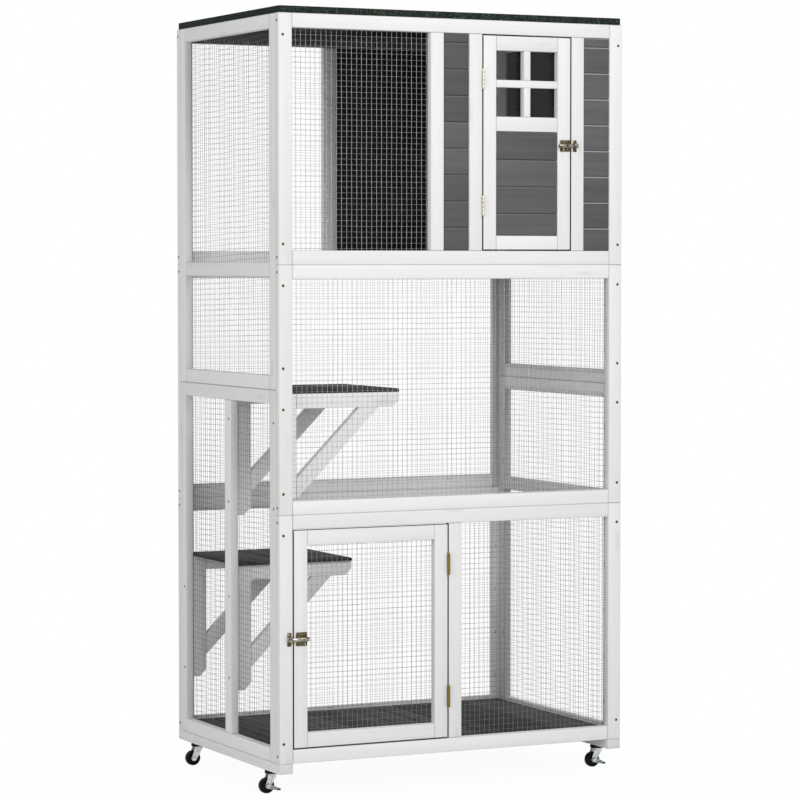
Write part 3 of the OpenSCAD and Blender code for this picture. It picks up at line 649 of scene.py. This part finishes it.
def behind_front(y, way):
    """From a flat net to the inner face of a front (way 1) or back (way -1) panel."""
    place = Matrix.Translation((-0.445, (y - 302.5) / 1000, 0))
    return place @ Matrix.Diagonal((1, way, 1, 1)) @ Matrix.Scale(0.001, 4)


def behind_side(x, way):
    """The same for a left (way 1) or right (way -1) panel."""
    swap = Matrix(((0, way, 0, 0), (1, 0, 0, 0), (0, 0, 1, 0), (0, 0, 0, 1)))
    return Matrix.Translation(((x - 445) / 1000, -0.3025, 0)) @ swap @ Matrix.Scale(0.001, 4)


front, back = behind_front(18, 1), behind_front(587, -1)
left_side, right_side = behind_side(18, 1), behind_side(872, -1)
on_floor = (11, 11, 7, 11)
brackets = ((550, 575, 190, 515), (40, 60, 620, 935))
for name, field in {
    "mesh_front_bay": {"across": (34, 383), "up": (1241.5, 1742.5), "to_frame": front},
    "mesh_front_middle": {"across": (34, 856), "up": (675.5, 1176.5), "to_frame": front},
    "mesh_front_bottom": {"across": (464, 856), "up": (109.5, 610.5), "to_frame": front, "laps": on_floor},
    "mesh_left_upper": {"across": (52, 553), "up": (958.5, 1742.5), "to_frame": left_side, "slope": -0.036},
    "mesh_left_lower": {
        "across": (52, 553), "up": (109.5, 893.5), "to_frame": left_side, "laps": on_floor, "skip": brackets,
    },
    "mesh_right_upper": {"across": (52, 553), "up": (958.5, 1182), "to_frame": right_side},
    "mesh_right_lower": {"across": (52, 553), "up": (109.5, 893.5), "to_frame": right_side, "laps": on_floor},
    "lower_door_mesh": {"across": (70.5, 393.5), "up": (146, 574), "to_frame": front},
}.items():
    piece(f"{name}_wires", net(name, **field), galvanised_wire, body_of(name), name)

back_nets = net("back_bay", (34, 383), (1241.5, 1742.5), back)
for foot, laps in ((675.5, (11, 11, 11, 11)), (109.5, on_floor)):
    lower_net = net(f"back_{foot}", (34, 856), (foot, foot + 501), back, laps)
    spare = bpy.data.meshes.new("spare")
    lower_net.to_mesh(spare)
    lower_net.free()
    back_nets.from_mesh(spare)
    bpy.data.meshes.remove(spare)
piece("mesh_back_wires", back_nets, galvanised_wire, "run", "mesh_back")

# ---------------------------------------------------------------------------
# House door: a frame of the same white sticks with a clear pane behind a cross of bars, and grey
# boards below.
eased("house_door_frame", whitewash, arris=0.0012, door="house_door_frame")
eased("house_door_bars", whitewash, arris=0.0007)
eased("house_door_planks", grey_wash, arris=0.0004, inward=(0, 1, 0))
pane = Finish(bpy.data.materials.new("clear_pane"))
smear = pane.between(pane.mottle(pane.place(), 14, 3), 0.5, 0.9)
clear_pane = pane.surface(colour=(0.97, 0.975, 0.97, 1), clear=1.0, ior=1.25, roughness=0.02 + smear * 0.08)
for each in nodes["house_door_pane"].material_slots:
    each.material = clear_pane

# ---------------------------------------------------------------------------
# Lower door: a plain frame of the same white sticks. Its net, stapled behind it, is made with the
# others above.
eased("lower_door_frame", whitewash, arris=0.0012, door="lower_door_frame")

# ---------------------------------------------------------------------------
# Hinges: rolled brass butts, with their knuckles in front of the gap beside each door. The lower
# pair is a browner brass than the upper pair.
hinge = Finish(bpy.data.materials.new("hinge_brass"))
hinge_cloud = hinge.mottle(hinge.place(), 160, 5)
upper_brass = hinge.mix(hinge_cloud, (0.50, 0.46, 0.34), (0.84, 0.81, 0.68))
lower_brass = hinge.mix(hinge_cloud, (0.10, 0.062, 0.014), (0.33, 0.22, 0.06))
on_house_door = hinge.between(hinge.axis(hinge.place(), "Z"), 0.89, 0.91)
hinge_brass = hinge.surface(
    colour=hinge.mix(on_house_door, lower_brass, upper_brass), metal=0.9, roughness=0.28 + hinge_cloud * 0.2,
    normal=hinge.bump(hinge_cloud, 0.00005),
)
for leaves in ("hinge_post_leaves", "house_door_leaves", "lower_door_leaves"):
    eased(leaves, hinge_brass, arris=0.00025, smooth=True)

# ---------------------------------------------------------------------------
# Latches: pressed brass plates, darkened with age, each with a barrel for a steel bolt with a finger
# piece, a bent keeper on the post and small dark screws.
aged = Finish(bpy.data.materials.new("old_brass"))
aged_cloud = aged.between(aged.mottle(aged.place(), 260, 5), 0.36, 0.66)
plate_face, barrel_face = -0.3048, -0.3068
on_barrel = aged.between(aged.axis(aged.place(), "Y"), plate_face, barrel_face)
aged_plate = aged.mix(aged_cloud, (0.030, 0.024, 0.012), (0.22, 0.18, 0.10))
aged_barrel = aged.mix(aged_cloud, (0.04, 0.036, 0.024), (0.42, 0.39, 0.30))
old_brass = aged.surface(
    colour=aged.mix(on_barrel, aged_plate, aged_barrel), metal=0.9, roughness=0.28 + aged_cloud * 0.15,
    normal=aged.bump(aged_cloud, 0.00005),
)
bolt_steel = tinted_metal("bolt_steel", (0.66, 0.65, 0.60), (0.12, 0.115, 0.10), roughness=0.26)
for fitting in ("house_latch_body", "lower_latch_body", "latch_keepers"):
    eased(fitting, old_brass, arris=0.0003, smooth=True)
for bolt in ("house_bolt", "lower_bolt"):
    eased(bolt, bolt_steel, arris=0.0003, smooth=True)
dark_screw = tinted_metal("dark_screw", (0.22, 0.10, 0.03), (0.06, 0.025, 0.01), roughness=0.4)
on_plate = -1.2  # the plates' front, ahead of the doors' face
for name, body, places in (
    ("house_latch_screws", "house_door", [(x, z) for x in (725.6, 745.4) for z in (1478, 1497)]),
    ("lower_latch_screws", "lower_door", [(x, z) for x in (45.2, 64.8) for z in (349.3, 371.7)]),
    ("keeper_screws", "run", [(761.5, 1477), (761.5, 1498), (25, 348.3), (25, 372.7)]),
):
    screws = bmesh.new()
    add_screws(screws, [from_corner(x, on_plate, z) for x, z in places], (0, -1, 0), radius=0.0019)
    piece(name, screws, dark_screw, body)

# ---------------------------------------------------------------------------
# Casters: black swivel housings with a skirt that keeps dust out, pressed zinc forks and moulded black
# wheels on riveted axles. The front pair has a steel brake lever with a black tip.
moulded = Finish(bpy.data.materials.new("black_plastic"))
moulded_cloud = moulded.mottle(moulded.place(), 400, 4)
road_dust = moulded.between(moulded.mottle(moulded.place(), 60, 5), 0.5, 0.8)
black_plastic = moulded.surface(
    colour=moulded.mix(road_dust * 0.4, (0.003, 0.003, 0.003), (0.012, 0.012, 0.012)), specular=0.12,
    roughness=0.38 + moulded_cloud * 0.25, normal=moulded.bump(moulded_cloud, 0.0001),
)


def turned(bm, outline, middle, axis, steps):
    """A round piece, like one off a lathe, from the corners of its half section."""
    ring = [bm.verts.new(corner) for corner in outline]
    edges = [bm.edges.new(pair) for pair in zip(ring, ring[1:] + ring[:1])]
    bmesh.ops.spin(
        bm, geom=ring + edges, cent=middle, axis=axis, angle=math.tau, steps=steps, use_merge=True
    )


def smoothed(bm):
    bmesh.ops.recalc_face_normals(bm, faces=bm.faces)
    for f in bm.faces:
        f.smooth = True


eased("caster_tops", black_plastic, arris=0.0005, smooth=True)
top_low, top_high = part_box("caster_tops")
housing_radius = 0.01375
skirt = ((13.0, 53.9), (15.2, 53.6), (16.4, 52.0), (16.6, 46.0), (15.9, 46.0), (15.7, 51.0), (13.0, 51.0))
skirts = bmesh.new()
for x in (top_low.x + housing_radius, top_high.x - housing_radius):
    for y in (top_low.y + housing_radius, top_high.y - housing_radius):
        outline = [(x + reach / 1000, y, z / 1000) for reach, z in skirt]
        turned(skirts, outline, middle=(x, y, 0), axis=(0, 0, 1), steps=40)
smoothed(skirts)
piece("dust_skirts", skirts, black_plastic, "run")

# A wheel's half section, from the hub's bore over its rounded tread, as radius and half width.
hub_to_tread = (
    (3.0, 7.4), (6.2, 7.4), (6.8, 6.9), (7.4, 5.0), (12.2, 4.6), (13.2, 5.6), (13.8, 6.9), (15.4, 7.1),
    (16.9, 6.5), (17.7, 5.2), (18.0, 3.2),
)
both_sides = hub_to_tread + tuple((radius, -y) for radius, y in reversed(hub_to_tread))
for end in ("fl", "fr", "rl", "rr"):
    eased(f"caster_fork_{end}", zinc, arris=0.0004, smooth=True)
    low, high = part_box(f"caster_wheel_{end}")
    wheel = bmesh.new()
    outline = [(radius / 1000, y / 1000, 0) for radius, y in both_sides]
    turned(wheel, outline, middle=(0, 0, 0), axis=(0, 1, 0), steps=64)
    smoothed(wheel)
    bmesh.ops.translate(wheel, vec=(low + high) / 2, verts=wheel.verts)
    piece(f"caster_wheel_{end}_tyre", wheel, black_plastic, f"wheel_{end}", f"caster_wheel_{end}")

lever_steel = tinted_metal(
    "lever_steel", (0.42, 0.47, 0.49), (0.10, 0.12, 0.13), roughness=0.24, metal=0.95, scale=500
)
for end in ("fl", "fr"):
    eased(f"brake_lever_{end}", lever_steel, arris=0.0003, smooth=True)
    low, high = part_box(f"brake_lever_{end}")
    tip = bmesh.new()
    tip_middle = Vector((high.x - 0.0041, (low.y + high.y) / 2, low.z + 0.0015))  # pushed over the lever's end
    tip_size = Vector((0.0088, high.y - low.y + 0.0008, 0.0038, 1))
    bmesh.ops.create_cube(tip, size=1, matrix=Matrix.Translation(tip_middle) @ Matrix.Diagonal(tip_size))
    bmesh.ops.bevel(tip, geom=tip.edges[:], offset=0.0009, affect="EDGES", segments=3, profile=0.5, material=-1)
    piece(f"brake_tip_{end}", tip, black_plastic, f"brake_{end}")
